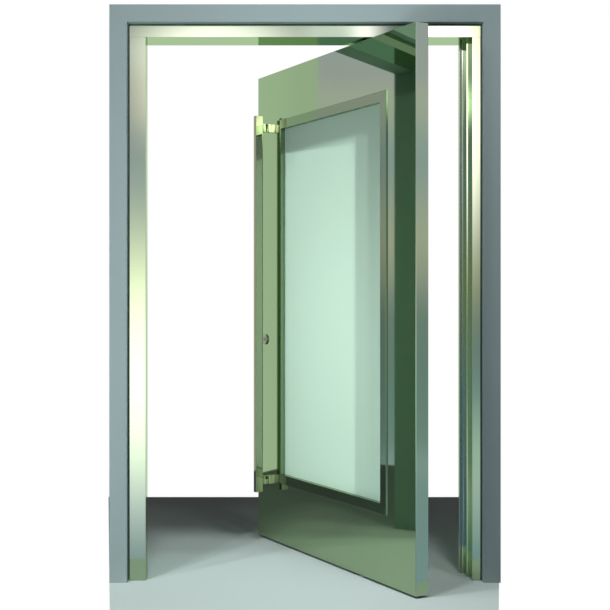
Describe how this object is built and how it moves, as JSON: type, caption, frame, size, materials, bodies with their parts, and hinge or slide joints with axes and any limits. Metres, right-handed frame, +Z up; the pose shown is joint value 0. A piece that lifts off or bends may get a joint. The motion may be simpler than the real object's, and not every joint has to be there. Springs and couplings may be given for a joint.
{
  "type": "pivot entry door",
  "caption": "Polished steel pivot door with a tall glazed panel, full-height pull bars and a cylinder lock, hung off-centre in a stepped steel frame with a deep grey surround.",
  "frame": {"origin": "pivot axis of the leaf at floor level, on the underside of the floor plate", "axes": "+X along the closed leaf towards the heel edge, +Y from the outside face towards the inside, +Z up"},
  "size_m": [1.726, 1.2839, 2.551],
  "materials": {
    "leaf_steel": "mirror polished",
    "frame_steel": "mirror polished",
    "handle_steel": "polished",
    "satin_steel": "satin",
    "core_metal": "galvanised",
    "spacer_aluminium": "matte",
    "mint_glass": "polished",
    "black_rubber": "matte",
    "grey_rubber": "matte",
    "grey_coating": "matte"
  },
  "bodies": {
    "frame": {"surround_left": "grey_coating", "surround_right": "grey_coating", "surround_head": "grey_coating", "shadow_gap_seal": "black_rubber", "lock_jamb": "frame_steel", "heel_jamb": "frame_steel", "header": "frame_steel", "stop_seals": "grey_rubber", "strike_plate": "satin_steel", "floor_plate": "satin_steel", "bottom_pivot_pin": "satin_steel", "top_pivot": "satin_steel"},
    "leaf": {"lock_stile": "core_metal", "heel_stile": "core_metal", "top_rail": "core_metal", "bottom_rail": "core_metal", "front_skin": "leaf_steel", "rear_skin": "leaf_steel", "lock_edge_cap": "leaf_steel", "heel_edge_cap": "leaf_steel", "top_edge_cap": "leaf_steel", "bottom_seal": "black_rubber", "outer_glass": "mint_glass", "inner_glass": "mint_glass", "glass_spacer": "spacer_aluminium", "glass_gaskets": "black_rubber", "front_bead_top": "leaf_steel", "front_bead_bottom": "leaf_steel", "front_bead_lock": "leaf_steel", "front_bead_heel": "leaf_steel", "rear_bead_top": "leaf_steel", "rear_bead_bottom": "leaf_steel", "rear_bead_lock": "leaf_steel", "rear_bead_heel": "leaf_steel", "front_pull_bar": "handle_steel", "front_pull_arms": "handle_steel", "rear_pull_bar": "handle_steel", "rear_pull_arms": "handle_steel", "front_lock_rose": "handle_steel", "rear_lock_rose": "handle_steel", "lock_cylinder": "satin_steel", "lock_faceplate": "satin_steel", "lock_bolts": "satin_steel", "bottom_pivot_block": "satin_steel", "top_pivot_block": "satin_steel"}
  },
  "joints": [
    {"name": "leaf_swing", "type": "hinge", "parent": "frame", "child": "leaf", "pos_m": [0, 0, 0], "axis": [0, 0, -1], "range_deg": [-60.5, 29.5]}
  ]
}
